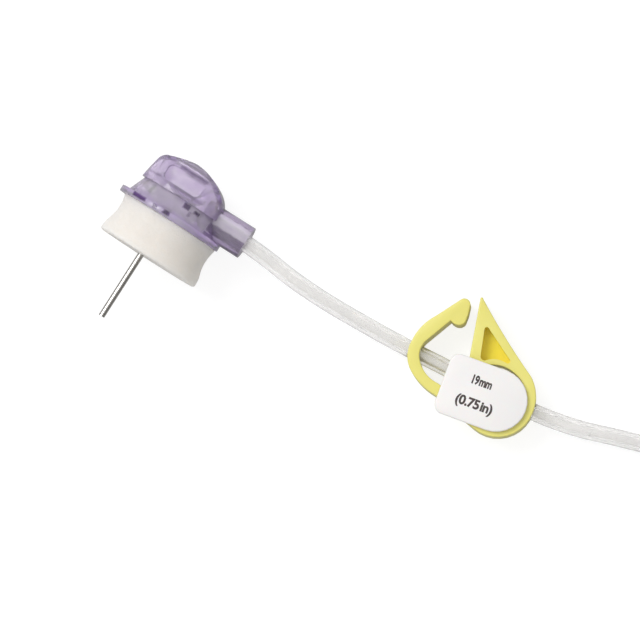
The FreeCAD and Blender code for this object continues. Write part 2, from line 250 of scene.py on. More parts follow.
def painted_shade_and_highlight_patch_group():
    """A soft rectangle on a piece: 1 inside, 0 outside, with slightly wandering edges; the mask of each
    painted shade and painted highlight on the hub.
    """
    tree, given, leave = new_group(
        "Painted Shade And Highlight Patch",
        [("Along", "NodeSocketFloat", 0.0), ("Up", "NodeSocketFloat", 0.0),
         ("Half Width", "NodeSocketFloat", 0.001), ("Half Height", "NodeSocketFloat", 0.001),
         ("Softness", "NodeSocketFloat", 0.0003)],
        [("Mask", "NodeSocketFloat")])
    place = object_place(tree)
    wander = cloud(tree, Vector=place, Scale=900.0, Detail=2.0)
    shift = ranged(tree, wander, 0.0, 1.0, -PATCH_WANDER, PATCH_WANDER)
    parts = add(tree, "ShaderNodeSeparateXYZ", {"Vector": place}).outputs
    sides = []
    for axis, centre, half in (("X", "Along", "Half Width"), ("Y", "Up", "Half Height")):
        off = maths(tree, "SUBTRACT", maths(tree, "ADD", parts[axis], shift), given[centre])
        spare = maths(tree, "SUBTRACT", given[half], maths(tree, "ABSOLUTE", off))
        sides.append(maths(tree, "ADD", maths(tree, "DIVIDE", spare, given["Softness"]), 0.5, clamp=True))
    set_inputs(tree, leave, {"Mask": maths(tree, "MULTIPLY", *sides)})
    return tree


def place_group(tree, name, maker, values):
    """A shared node group, built at its first use, with its own values here."""
    return add(tree, "ShaderNodeGroup", values, node_tree=bpy.data.node_groups.get(name) or maker())


def new_material(name, constants):
    """A material with a Principled shader whose plain constants are set on its own sockets."""
    material = bpy.data.materials.new(name)
    material.use_nodes = True
    tree = material.node_tree
    shader = tree.nodes["Principled BSDF"]
    set_inputs(tree, shader, constants)
    return material, tree, shader


def moulded(name, colour, second, constants, roughness, spread, drift, drift_scale=220.0, bump=0.06):
    """A moulded plastic: drifting colour, uneven gloss and a fine skin."""
    material, tree, shader = new_material(name, constants)
    tone = place_group(tree, "Colour Drift", colour_drift_group,
                       {"Colour": colour, "Second": second, "Scale": drift_scale, "Amount": drift})
    skin = place_group(tree, "Moulded Skin", moulded_skin_group, {"Roughness": roughness, "Spread": spread})
    relief = add(tree, "ShaderNodeBump",
                 {"Strength": bump, "Distance": SKIN_RELIEF, "Height": skin.outputs["Height"]})
    set_inputs(tree, shader, {"Base Color": tone.outputs["Colour"], "Roughness": skin.outputs["Roughness"],
                              "Normal": relief.outputs["Normal"]})
    return material


def deep_tint(material, colour, density):
    """Tint that grows with the thickness of clear plastic, as in the real moulding."""
    tree = material.node_tree
    body = add(tree, "ShaderNodeVolumeAbsorption", {"Color": colour, "Density": density})
    set_inputs(tree, tree.nodes["Material Output"], {"Volume": body.outputs["Volume"]})


def with_painted_shade_and_highlights(material, patches, colour, softness):
    """Lay painted shade and painted highlights over a material's colour in places given on the hub as (u, v,
    half width, half height, strength).
    """
    tree = material.node_tree
    shader = tree.nodes["Principled BSDF"]
    source = shader.inputs["Base Color"].links[0].from_socket
    for u, v, half_width, half_height, strength in patches:
        spot = on_hub(u, v)
        mask = place_group(tree, "Painted Shade And Highlight Patch", painted_shade_and_highlight_patch_group,
                           {"Along": spot.x, "Up": spot.y, "Half Width": half_width * MM,
                            "Half Height": half_height * MM, "Softness": softness * MM})
        source = mixed(tree, "RGBA", maths(tree, "MULTIPLY", mask.outputs["Mask"], strength), source, colour)
    set_inputs(tree, shader, {"Base Color": source})


# Painted light on the hub's clear plastic: painted shade where it looks darker, and painted highlights where
# a face inside catches the light
PAINTED_SHADE_TINT = (0.14, 0.08, 0.21, 1.0)
PAINTED_HIGHLIGHT_TINT = (0.98, 0.97, 0.985, 1.0)
DEPTH_TINT = (0.60, 0.44, 0.74, 1.0)
PAINTED_SHADE_SOFTNESS, PAINTED_HIGHLIGHT_SOFTNESS = 0.3, 0.7
# Painted shade on the hub base: dark patches in the flange, around the socket and under the cap, as (u, v,
# half width, half height, strength)
BASE_PAINTED_SHADE = [(-5.2, 0.62, 1.25, 0.35, 1.0), (-2.0, 0.62, 0.4, 0.35, 0.9), (0.1, 0.62, 0.6, 0.35, 0.9),
             (2.1, 3.3, 0.6, 0.5, 0.8), (4.0, 3.2, 0.5, 0.3, 0.8), (3.1, 2.4, 0.2, 0.5, 0.5),
             (9.6, 2.2, 3.2, 1.2, 0.55), (9.6, 6.1, 3.2, 0.45, 0.55), (-0.6, 4.15, 5.6, 0.12, 0.35)]
# Painted highlights on the hub base: bright windows in the skirt, a bright band along the socket and a glint
BASE_PAINTED_HIGHLIGHTS = [(-4.3, 2.8, 0.7, 0.6, 1.0), (-7.1, 2.4, 0.3, 0.3, 0.9), (9.6, 4.9, 3.2, 0.4, 1.0),
              (9.6, 3.8, 3.2, 0.2, 0.6), (4.4, 1.7, 0.35, 0.35, 1.0), (3.5, 0.5, 2.2, 0.2, 0.7)]
# Painted shade on the cap: dark lines along its lower edge and its right-hand contour
CAP_PAINTED_SHADE = [(0.2, 8.35, 2.6, 0.3, 0.6), (6.6, 4.6, 0.25, 1.6, 0.4), (-5.5, 5.25, 1.4, 0.15, 0.5),
            (-4.9, 8.6, 1.2, 0.15, 0.3), (0.4, 4.95, 3.6, 0.12, 0.35), (5.9, 7.2, 0.3, 0.6, 0.5),
            (4.6, 8.45, 0.5, 0.25, 0.5), (2.8, 9.25, 0.9, 0.15, 0.4)]
# Painted highlights on the cap: bright reflections in the dome
CAP_PAINTED_HIGHLIGHTS = [(-3.1, 7.1, 0.5, 0.6, 1.0), (0.6, 5.6, 3.2, 0.25, 0.7), (-1.6, 9.3, 1.8, 0.2, 0.5)]


def hub_material(name, dark, light, clearness, density):
    """Clear lavender plastic with painted shade in its dark places and painted highlights in its bright ones;
    the density is of the tint inside.
    """
    material = moulded(name, tuple(settings().hub_colour), (0.80, 0.73, 0.87, 1.0),
                       {"Transmission Weight": clearness, "IOR": 1.42, "Specular IOR Level": 0.5},
                       roughness=0.12, spread=0.10, drift=0.85, drift_scale=380.0, bump=0.05)
    # painted shade first, then painted highlights, over the plastic's colour
    with_painted_shade_and_highlights(material, dark, PAINTED_SHADE_TINT, PAINTED_SHADE_SOFTNESS)
    with_painted_shade_and_highlights(material, light, PAINTED_HIGHLIGHT_TINT, PAINTED_HIGHLIGHT_SOFTNESS)
    deep_tint(material, DEPTH_TINT, density)
    return material


def tube_material():
    return moulded("tube vinyl", (0.93, 0.92, 0.91, 1.0), (0.87, 0.865, 0.86, 1.0),
                   {"Transmission Weight": 0.75, "IOR": 1.40, "Specular IOR Level": 0.4},
                   roughness=0.26, spread=0.08, drift=0.5, bump=0.01)


def connector_material():
    return moulded("luer plastic", (0.93, 0.95, 0.96, 1.0), (0.88, 0.91, 0.94, 1.0),
                   {"Transmission Weight": 0.85, "IOR": 1.46},
                   roughness=0.14, spread=0.10, drift=0.4)


def cap_material():
    return moulded("cap plastic", (0.80, 0.80, 0.79, 1.0), (0.74, 0.74, 0.74, 1.0),
                   {"Subsurface Weight": 0.1, "Subsurface Scale": 0.8 * MM},
                   roughness=0.36, spread=0.10, drift=0.5)


def clamp_material():
    return moulded("clamp plastic", tuple(settings().clamp_colour), (0.74, 0.655, 0.14, 1.0),
                   {"Subsurface Weight": 0.1, "Subsurface Scale": 0.8 * MM,
                    "Subsurface Radius": (1.0, 0.8, 0.25), "Coat Weight": 0.15, "Coat Roughness": 0.2},
                   roughness=0.34, spread=0.12, drift=0.4, drift_scale=160.0, bump=0.10)


def pocket_shade_material():
    """The same plastic in the lever's thin web, with painted shade: a deeper, warmer copy of the clamp
    plastic for the recessed pocket.
    """
    return moulded("clamp plastic pocket shade", (0.88, 0.79, 0.05, 1.0), (0.82, 0.66, 0.03, 1.0),
                   {"Subsurface Weight": 0.25, "Subsurface Scale": 1.2 * MM,
                    "Subsurface Radius": (1.0, 0.8, 0.25)},
                   roughness=0.38, spread=0.12, drift=0.6, drift_scale=260.0, bump=0.10)


def tag_material():
    return moulded("tag plastic", tuple(settings().tag_colour), (0.80, 0.79, 0.80, 1.0),
                   {"Subsurface Weight": 0.08, "Subsurface Scale": 0.6 * MM},
                   roughness=0.30, spread=0.10, drift=0.5, drift_scale=120.0, bump=0.05)


def ink_material():
    """Thin print: nearly black, a little worn and uneven."""
    return moulded("tag ink", tuple(settings().ink_colour), (0.09, 0.07, 0.065, 1.0), {},
                   roughness=0.45, spread=0.15, drift=0.6, drift_scale=2500.0)


def steel_material():
    """Drawn steel tube: lines along its length."""
    material, tree, shader = new_material("drawn steel", {"Metallic": 1.0})
    stretch = add(tree, "ShaderNodeMapping", {"Vector": object_place(tree), "Scale": (9000.0, 160.0, 9000.0)})
    lines = cloud(tree, Vector=stretch.outputs["Vector"], Scale=1.0, Detail=3.0)
    relief = add(tree, "ShaderNodeBump", {"Strength": 0.12, "Distance": 0.01 * MM, "Height": lines})
    set_inputs(tree, shader, {
        "Base Color": mixed(tree, "RGBA", lines, (0.50, 0.48, 0.45, 1.0), (0.62, 0.60, 0.57, 1.0)),
        "Roughness": ranged(tree, lines, 0.0, 1.0, 0.16, 0.34), "Normal": relief.outputs["Normal"]})
    return material


def foam_material():
    """Fine open foam: small cells with painted shade darkening their mouths, and a soft drift of tone."""
    material, tree, shader = new_material(
        "pad foam", {"Roughness": 0.95, "Specular IOR Level": 0.2, "Subsurface Weight": 1.0,
                     "Subsurface Scale": 3.0 * MM, "Subsurface Radius": (1.0, 0.95, 0.9)})
    place = object_place(tree)
    cells = add(tree, "ShaderNodeTexVoronoi",
                {"Vector": place, "Scale": 3600.0, "Randomness": 1.0}).outputs["Distance"]
    fine = cloud(tree, Vector=place, Scale=5200.0, Detail=2.0)
    height = mixed(tree, "FLOAT", 0.35, ranged(tree, cells, 0.1, 0.7, 0.0, 1.0), fine)
    tone = place_group(tree, "Colour Drift", colour_drift_group,
                       {"Colour": tuple(settings().foam_colour), "Second": (0.72, 0.685, 0.645, 1.0),
                        "Scale": 420.0, "Amount": 0.45})
    # painted shade: each cell's mouth is darkened towards its middle, where its hollow lies in shade
    depth = ranged(tree, cells, 0.35, 0.05, 0.0, 0.30)
    relief = add(tree, "ShaderNodeBump", {"Strength": 0.55, "Distance": 0.06 * MM, "Height": height})
    shaded_cell_mouth = mixed(tree, "RGBA", depth, tone.outputs["Colour"], (0.66, 0.63, 0.60, 1.0))
    set_inputs(tree, shader, {"Base Color": shaded_cell_mouth, "Normal": relief.outputs["Normal"]})
    return material


# Mesh building

MITRE_LIMIT = 1.6
ROUND_STEPS = 4
MOULDED_ANGLE = 40.0
BROKEN_EDGE_ANGLE = 38.0
BROKEN_EDGE = 0.12 * MM
CAP_BROKEN_EDGE = 0.22 * MM


def new_piece(name, vertices, faces, material, smooth_angle=None):
    """A mesh object from plain lists, in the frame."""
    mesh = bpy.data.meshes.new(name)
    mesh.from_pydata([tuple(v) for v in vertices], [], faces)
    mesh.validate()
    mesh.materials.append(material)
    obj = bpy.data.objects.new(name, mesh)
    bpy.context.scene.collection.objects.link(obj)
    if smooth_angle is not None:
        smooth(obj, smooth_angle)
    return obj


def smooth(obj, angle):
    """Smooth shading with sharp edges where the faces turn by more than an angle."""
    obj.data.shade_smooth()
    obj.data.set_sharp_from_angle(angle=math.radians(angle))


def take_evaluated(obj):
    """Replace a mesh by what its modifiers make of it."""
    graph = bpy.context.evaluated_depsgraph_get()
    made = bpy.data.meshes.new_from_object(obj.evaluated_get(graph))
    obj.modifiers.clear()
    obj.data = made


def cut_out(obj, cutters):
    """Subtract cutter objects for good, and delete them."""
    for cutter in cutters:
        cut = obj.modifiers.new("cut", "BOOLEAN")
        cut.operation = "DIFFERENCE"
        cut.solver = "EXACT"
        cut.material_mode = "TRANSFER"
        cut.object = cutter
    take_evaluated(obj)
    for cutter in cutters:
        bpy.data.objects.remove(cutter)


def arc_points(start, middle, end, steps):
    """Points on the arc through three points, from just after its start to its end."""
    ax, ay = start
    bx, by = middle
    cx, cy = end
    d = 2 * (ax * (by - cy) + bx * (cy - ay) + cx * (ay - by))
    a2, b2, c2 = ax * ax + ay * ay, bx * bx + by * by, cx * cx + cy * cy
    ux = (a2 * (by - cy) + b2 * (cy - ay) + c2 * (ay - by)) / d
    uy = (a2 * (cx - bx) + b2 * (ax - cx) + c2 * (bx - ax)) / d
    radius = math.hypot(ax - ux, ay - uy)
    first = math.atan2(ay - uy, ax - ux)
    half = math.remainder(math.atan2(by - uy, bx - ux) - first, math.tau)
    rest = math.remainder(math.atan2(cy - uy, cx - ux) - math.atan2(by - uy, bx - ux), math.tau)
    sweep = half + rest
    turns = [first + sweep * n / steps for n in range(1, steps + 1)]
    return [(ux + radius * math.cos(turn), uy + radius * math.sin(turn)) for turn in turns]


def trace(start, steps, arc_steps, line_step=0.8):
    """Closed polygon from points and (middle, end) arcs, with straight stretches divided."""
    points = [start]
    for step in steps + [start]:
        if isinstance(step[0], tuple):
            points += arc_points(points[-1], step[0], step[1], arc_steps)
        else:
            ax, ay = points[-1]
            bx, by = step
            parts = max(1, round(math.hypot(bx - ax, by - ay) / line_step))
            points += [(ax + (bx - ax) * n / parts, ay + (by - ay) * n / parts) for n in range(1, parts + 1)]
    kept = []
    for point in points:
        if not kept or math.dist(point, kept[-1]) > 1e-3:
            kept.append(point)
    if math.dist(kept[0], kept[-1]) < 1e-3:
        kept.pop()
    return kept


def inset(points, distance):
    """A polygon, counter-clockwise, moved inwards along its corners' bisectors."""
    made = []
    count = len(points)
    for n, (x, y) in enumerate(points):
        ax, ay = points[n - 1]
        bx, by = points[(n + 1) % count]
        first = Vector((x - ax, y - ay)).normalized()
        second = Vector((bx - x, by - y)).normalized()
        normal = Vector((-first.y - second.y, first.x + second.x))
        normal = normal.normalized() if normal.length > 1e-6 else Vector((-first.y, first.x))
        stretch = min(MITRE_LIMIT, 1 / max(0.3, normal.dot(Vector((-first.y, first.x)))))
        made.append((x + normal.x * distance * stretch, y + normal.y * distance * stretch))
    return made


def area(points):
    return sum(a[0] * b[1] - b[0] * a[1] for a, b in zip(points, points[1:] + points[:1])) / 2


def slab(name, points, low, high, rounding, material, place):
    """A plate over a polygon in millimetres with rounded upper and lower edges."""
    if area(points) < 0:
        points = points[::-1]
    turns = [math.pi / 2 * n / ROUND_STEPS for n in range(ROUND_STEPS + 1)]
    lower = sorted((low + rounding * (1 - math.sin(turn)), rounding * (1 - math.cos(turn))) for turn in turns)
    levels = lower + sorted((low + high - height, shift) for height, shift in lower)
    vertices = []
    for height, shift in levels:
        vertices += [place(x, y, height) for x, y in (inset(points, shift) if shift > 1e-6 else points)]
    count = len(points)
    faces = [list(range(count))[::-1], [(len(levels) - 1) * count + n for n in range(count)]]
    for level in range(len(levels) - 1):
        for n in range(count):
            after = (n + 1) % count
            faces.append([level * count + n, level * count + after, (level + 1) * count + after,
                          (level + 1) * count + n])
    return new_piece(name, vertices, faces, material, MOULDED_ANGLE)


def rod(name, start, end, radius, sides=48):
    """A plain round cutter between two places."""
    axis = (end - start).normalized()
    turn = axis.to_track_quat("Z", "Y")
    vertices = []
    for at in (start, end):
        for n in range(sides):
            angle = math.tau * n / sides
            vertices.append(at + turn @ Vector((radius * math.cos(angle), radius * math.sin(angle), 0)))
    faces = [list(range(sides))[::-1], [sides + n for n in range(sides)]]
    faces += [[n, (n + 1) % sides, sides + (n + 1) % sides, sides + n] for n in range(sides)]
    mesh = bpy.data.meshes.new(name)
    mesh.from_pydata([tuple(v) for v in vertices], [], faces)
    obj = bpy.data.objects.new(name, mesh)
    bpy.context.scene.collection.objects.link(obj)
    return obj


def bend_share(spot, bend):
    """How far a place lies past a bend: 0 before its start, 1 after its end, and smooth in between."""
    start, end = (on_clamp(x, y, 0) for x, y in bend)
    across = end - start
    flat = Vector((spot.x, spot.y, 0))
    share = max(0.0, min(1.0, (flat - start).dot(across) / across.dot(across)))
    return share * share * (3 - 2 * share)


def cross_cuts(obj, bend, count=7):
    """Divide a moulding across its bend with a row of parallel cuts."""
    start, end = (on_clamp(x, y, 0) for x, y in bend)
    mesh = bmesh.new()
    mesh.from_mesh(obj.data)
    for n in range(count):
        bmesh.ops.bisect_plane(mesh, geom=mesh.verts[:] + mesh.edges[:] + mesh.faces[:], dist=1e-7,
                               plane_co=start.lerp(end, n / (count - 1)), plane_no=(end - start).normalized())
    mesh.to_mesh(obj.data)
    mesh.free()


def lathe_about_hub(profile, sides, move):
    """Vertices and quads of a profile of (radius, v) in millimetres turned about the hub's axis."""
    vertices, faces = [], []
    for row, (radius, v) in enumerate(profile):
        for n in range(sides):
            angle = math.tau * n / sides
            spot = move(Vector((radius * math.cos(angle), v, radius * math.sin(angle))), row)
            vertices.append(HUB_AXIS + spot * MM)
    for row in range(len(profile) - 1):
        for n in range(sides):
            after = (n + 1) % sides
            here, beyond = row * sides, (row + 1) * sides
            faces.append([here + n, here + after, beyond + after, beyond + n])
    return vertices, faces


def dress_node(name, material, bevel=0.0):
    """Give a CAD node its material and finely broken edges."""
    obj = frame["nodes"][name]
    for socket in obj.material_slots:
        socket.material = material
    if bevel:
        weld = obj.modifiers.new("weld", "WELD")
        weld.merge_threshold = 0.001 * MM
        edge = obj.modifiers.new("broken edges", "BEVEL")
        edge.width = bevel
        edge.segments = 2
        edge.limit_method = "ANGLE"
        edge.angle_limit = math.radians(BROKEN_EDGE_ANGLE)
        edge.harden_normals = True


# The clamp's moulded outline, from the catch round the bow and along the base bar to the ring and the lever
SPLIT_X = 10.0
SPLIT_LOW = (SPLIT_X, -5.73)
SPLIT_HIGH = (SPLIT_X, -3.65)
CATCH_START = (0.0, 1.3)
CATCH_STEPS = [
    ((0.75, -1.75), (2.8, -3.7)), ((5.2, -4.75), (7.8, -5.2)), SPLIT_LOW, SPLIT_HIGH, (7.4, -3.15),
    ((4.2, -2.3), (2.35, -0.4)), ((2.0, 0.98), (2.2, 2.35)), (4.42, 7.48), ((4.8, 7.32), (5.3, 7.25)),
    ((6.3, 7.57), (6.75, 8.4)), (6.62, 9.8), (6.2, 11.4), ((5.4, 12.05), (4.3, 11.5)), (1.8, 7.1),
    ((0.4, 4.3), (0.0, 1.3)),
]
LEVER_START = SPLIT_LOW
LEVER_STEPS = [
    (16.3, -7.25), ((22.0, -5.9), (24.2, -0.2)), ((23.45, 2.5), (21.1, 5.2)), ((14.4, 9.0), (7.7, 13.35)),
    ((7.35, 13.5), (7.25, 13.1)), (10.35, 2.7), ((11.2, 1.65), (12.3, 2.3)), ((15.1, 4.3), (18.9, 4.2)),
    ((21.0, 2.8), (21.9, -0.2)), ((21.1, -3.7), (18.4, -5.2)), (15.4, -4.95), (14.1, -4.6),
    ((13.1, -3.95), (12.1, -4.15)), SPLIT_HIGH,
]
POCKET_START = (10.75, 9.35)
POCKET_STEPS = [
    ((10.3, 9.2), (10.25, 8.8)), (11.7, 4.5), ((12.2, 3.95), (12.9, 4.1)), ((14.4, 5.1), (16.2, 5.3)),
    ((16.75, 5.6), (16.55, 6.1)),
]
POCKET_WEB = 2.0
POCKET_ROUND = 0.02
TAG_END = (16.7, -1.17)
TAG_END_RADIUS = 5.13
TAG_LEFT = 7.45
TAG_CORNER = 1.6
TAG_ANGLE = 7.0
CATCH_BEND = drawn([(2.2, -3.6), (0.6, 0.4)])
LEVER_BEND = drawn([(22.0, 2.6), (19.4, 6.4)])
LEVER_INSET = 0.3
TUBE_PLAY = 0.5
TAG_ARC_STEPS = 14
POCKET_ARC_STEPS = 6

# Where the tube's holes run along the clamp, and how the print lies on the tag
BOW_HOLE = (-2, 5)
RING_HOLE = (19, 26)
INK_DEPTH = 0.02
INK_LIFT = 0.01
LETTER_SPACE = 0.94
WORD_SPACE = 0.4

# The foam pad's section in millimetres; its hole is shifted towards the needle up to the shift radius
PAD_TOP = 8.67
PAD_GAP = 0.02
PAD_LIP = 0.15
PAD_HOLE = 0.62
PAD_FOOT_ROUND = 0.45
PAD_SIDE_ROWS = 26
PAD_FOOT_ROWS = 16
PAD_SIDES = 168
PAD_SHIFT_RADIUS = 8.0
CANNULA_RADIUS = 0.535

# The tube's route in the hub's frame and the clamp's, as it is laid in the part's source
TUBE_START = (6.6, 3.75)
TUBE_LEAD = 4.2
FLOOR_Z = 1.4
TAIL_Z = 4.7
LOOP_POINTS = 14
TAIL_LENGTH = 11.4
SEAT_LENGTH = 5.0


def on_floor(x, y, z):
    """A place of the hub's frame in millimetres, with z measured from the table."""
    return Vector((HUB_AXIS.x + x * MM, HUB_AXIS.y + y * MM, z * MM))


def tube_route():
    """Control points of the whole tube: from the socket through the clamp and round the loop to the luer."""
    axis_z = HUB_AXIS.z / MM
    middle = CLAMP_DEPTH / MM / 2
    route = [
        on_floor(TUBE_START[0], TUBE_START[1], axis_z),
        on_floor(14.6, TUBE_START[1], axis_z),
        on_floor(24.75, 2.5, 7.9),
        on_clamp(-TUBE_LEAD, 0, middle),
        on_clamp(CLAMP_LENGTH * 0.55, 0, middle),
        on_clamp(CLAMP_LENGTH + TUBE_LEAD, 0, middle),
        on_floor(83.6, 10.8, FLOOR_Z),
        on_floor(104.0, 17.0, FLOOR_Z),
    ]
    entry = route[-1]
    heading = entry - route[-2]
    heading.z = 0
    heading.normalize()
    left = Vector((-heading.y, heading.x, 0))
    radius = settings().loop_radius
    centre = entry - left * radius
    control_radius = radius / math.cos(math.pi / LOOP_POINTS / 2)
    for n in range(LOOP_POINTS):
        turn = math.tau * (n + 0.5) / LOOP_POINTS
        spot = centre + (heading * math.sin(turn) + left * math.cos(turn)) * control_radius
        spot.z = (FLOOR_Z + (TAIL_Z - FLOOR_Z) * (n + 0.5) / LOOP_POINTS) * MM
        route.append(spot)
    for along in (0.0, 0.45 * TAIL_LENGTH, TAIL_LENGTH, TAIL_LENGTH + SEAT_LENGTH):
        spot = entry + heading * along * MM
        spot.z = TAIL_Z * MM
        route.append(spot)
    return route


def smooth_line(route):
    """Points along the NURBS spline whose control points are the route."""
    curve = bpy.data.curves.new("tube route", "CURVE")
    curve.dimensions = "3D"
    curve.resolution_u = 30
    spline = curve.splines.new("NURBS")
    spline.points.add(len(route) - 1)
    for point, spot in zip(spline.points, route):
        point.co = (*spot, 1.0)
    spline.order_u = 3
    spline.use_endpoint_u = True
    obj = bpy.data.objects.new("tube route", curve)
    bpy.context.scene.collection.objects.link(obj)
    mesh = bpy.data.meshes.new_from_object(obj.evaluated_get(bpy.context.evaluated_depsgraph_get()))
    line = [v.co.copy() for v in mesh.vertices]
    bpy.data.objects.remove(obj)
    return line


def hose(line, outer, bore, sides=48):
    """Vertices and faces of a tube with a bore that follows a line."""
    count = len(line)
    vertices, faces = [], []
    across = Vector((0, 0, 1))
    for n, spot in enumerate(line):
        heading = (line[min(n + 1, count - 1)] - line[max(n - 1, 0)]).normalized()
        across = (across - heading * across.dot(heading)).normalized()
        third = heading.cross(across)
        for radius in (outer, bore):
            for side in range(sides):
                angle = math.tau * side / sides
                vertices.append(spot + (across * math.cos(angle) + third * math.sin(angle)) * radius)
    ring = 2 * sides
    for n in range(count - 1):
        for side in range(sides):
            after = (side + 1) % sides
            a, b = n * ring + side, n * ring + after
            faces.append([a, b, b + ring, a + ring])
            faces.append([a + sides, a + sides + ring, b + sides + ring, b + sides])
    last = (count - 1) * ring
    for side in range(sides):
        after = (side + 1) % sides
        faces.append([side, side + sides, after + sides, after])
        faces.append([last + side, last + after, last + after + sides, last + side + sides])
    return vertices, faces


class NEEDLESET_OT_hub(bpy.types.Operator):
    """Dress the two mouldings of the translucent hub and the steel needle in it"""
    bl_idname = "needle_set.hub"
    bl_label = "Hub and Needle"

    def execute(self, context):
        base = hub_material("hub base plastic", BASE_PAINTED_SHADE, BASE_PAINTED_HIGHLIGHTS, clearness=0.70, density=160.0)
        cap = hub_material("hub cap plastic", CAP_PAINTED_SHADE, CAP_PAINTED_HIGHLIGHTS, clearness=0.78, density=280.0)
        dress_node("hub_base", base, BROKEN_EDGE)
        dress_node("hub_cap", cap, CAP_BROKEN_EDGE)
        dress_node("cannula", steel_material())
        return {"FINISHED"}


class NEEDLESET_OT_pad(bpy.types.Operator):
    """Make the foam pad under the flange: a waisted disc with a rounded foot and a cut, cellular skin"""
    bl_idname = "needle_set.pad"
    bl_label = "Foam Pad"

    def execute(self, context):
        depth = (PAD_HIGH.y - PAD_LOW.y) / MM
        top, waist, foot = PAD_TOP, settings().pad_waist / MM, settings().pad_foot / MM
        pad_u = ((PAD_LOW.x + PAD_HIGH.x) / 2 - HUB_AXIS.x) / MM
        hole, rounding = PAD_HOLE, PAD_FOOT_ROUND
        flat = foot - rounding
        profile = [(radius, -PAD_GAP) for radius in (hole, 3.0, 6.0, top - 0.6)]
        profile += [(top - 0.12, -0.03), (top, -PAD_LIP)]
        first_side = len(profile)
        for n in range(1, PAD_SIDE_ROWS):
            share = n / PAD_SIDE_ROWS
            v = -PAD_LIP - share * (depth - rounding - PAD_LIP)
            pull = math.sin(math.pi * min(1.0, share / 0.8)) ** 0.8
            radius = top + (foot - top) * share ** 2 - (top - waist + 0.25 * (foot - top)) * pull
            profile.append((radius, v))
        for n in range(7):
            turn = math.pi / 2 * n / 6
            profile.append((flat + rounding * math.cos(turn), rounding - depth - rounding * math.sin(turn)))
        for n in range(1, PAD_FOOT_ROWS + 1):
            profile.append((flat - (flat - hole) * n / PAD_FOOT_ROWS, -depth))
        last_free = len(profile) - 1
        profile += [(hole, -depth * 0.6), (hole, -depth * 0.3), (hole, -PAD_GAP)]
        needle_u = (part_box("cannula")[0].x - HUB_AXIS.x) / MM + CANNULA_RADIUS - pad_u

        def cut_skin(spot, row):
            """Shift the hole to the needle, and roughen the cut side and foot."""
            radius = math.hypot(spot.x, spot.z)
            spot = spot + Vector((needle_u * max(0.0, 1 - radius / PAD_SHIFT_RADIUS) ** 0.5, 0, 0))
            if first_side <= row < last_free:
                wave = noise.noise(spot * 0.35) * 0.10 + noise.noise(spot * 2.2 + Vector((7, 3, 1))) * 0.05
                outward = Vector((spot.x, 0, spot.z)).normalized()
                if spot.y < 0.2 - depth and radius < flat:
                    spot.y += abs(wave) * 0.5
                else:
                    spot += outward * wave
            return spot

        vertices, faces = lathe_about_hub(profile, PAD_SIDES, cut_skin)
        vertices = [spot + Vector((pad_u * MM, 0, 0)) for spot in vertices]
        pad = new_piece("foam_pad_skin", vertices, faces, foam_material(), 60.0)
        mesh = bmesh.new()
        mesh.from_mesh(pad.data)
        bmesh.ops.remove_doubles(mesh, verts=mesh.verts, dist=1e-6)
        bmesh.ops.recalc_face_normals(mesh, faces=mesh.faces)
        mesh.to_mesh(pad.data)
        mesh.free()
        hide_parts("foam_pad")
        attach(pad, "set")
        return {"FINISHED"}


class NEEDLESET_OT_clamp(bpy.types.Operator):
    """Make the yellow pinch clamp as two mouldings, each divided across its bend, that meet under the tag"""
    bl_idname = "needle_set.clamp"
    bl_label = "Pinch Clamp"

    def execute(self, context):
        plastic = clamp_material()
        depth = CLAMP_DEPTH / MM
        rounding = settings().edge_round / MM
        steps = settings().samples_per_arc
        middle = depth / 2
        hole = settings().tube_radius + TUBE_PLAY * MM

        catch = slab("clamp_bow", drawn(trace(CATCH_START, CATCH_STEPS, steps)), 0, depth, rounding, plastic,
                     on_clamp)
        cut_out(catch, [rod("bow hole", *(on_clamp(x, 0, middle) for x in BOW_HOLE), hole)])
        cross_cuts(catch, CATCH_BEND)
        smooth(catch, MOULDED_ANGLE)

        lever = slab("clamp_ring", drawn(trace(LEVER_START, LEVER_STEPS, steps)), 0, depth, rounding, plastic,
                     on_clamp)
        pocket = drawn(trace(POCKET_START, POCKET_STEPS, POCKET_ARC_STEPS))
        # the pocket's faces take the clamp plastic with painted shade
        pocket_shade = pocket_shade_material()
        cutters = [rod("ring hole", *(on_clamp(x, 0, middle) for x in RING_HOLE), hole)]
        for low, high in ((-1, middle - POCKET_WEB / 2), (middle + POCKET_WEB / 2, depth + 1)):
            cutters.append(slab("pocket", pocket, low, high, POCKET_ROUND, pocket_shade, on_clamp))
        cut_out(lever, cutters)
        cross_cuts(lever, LEVER_BEND)
        for vertex in lever.data.vertices:
            share = bend_share(vertex.co, LEVER_BEND)
            height = vertex.co.z / MM - middle
            vertex.co.z = (middle + height * (1 - share * 2 * LEVER_INSET / depth)) * MM
        smooth(lever, MOULDED_ANGLE)

        for piece, body, bend, nodes in (
                (catch, "catch", CATCH_BEND, ("clamp_catch",)),
                (lever, "lever", LEVER_BEND, ("clamp_body", "clamp_lever"))):
            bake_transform(piece)
            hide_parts(*nodes)
        return {"FINISHED"}


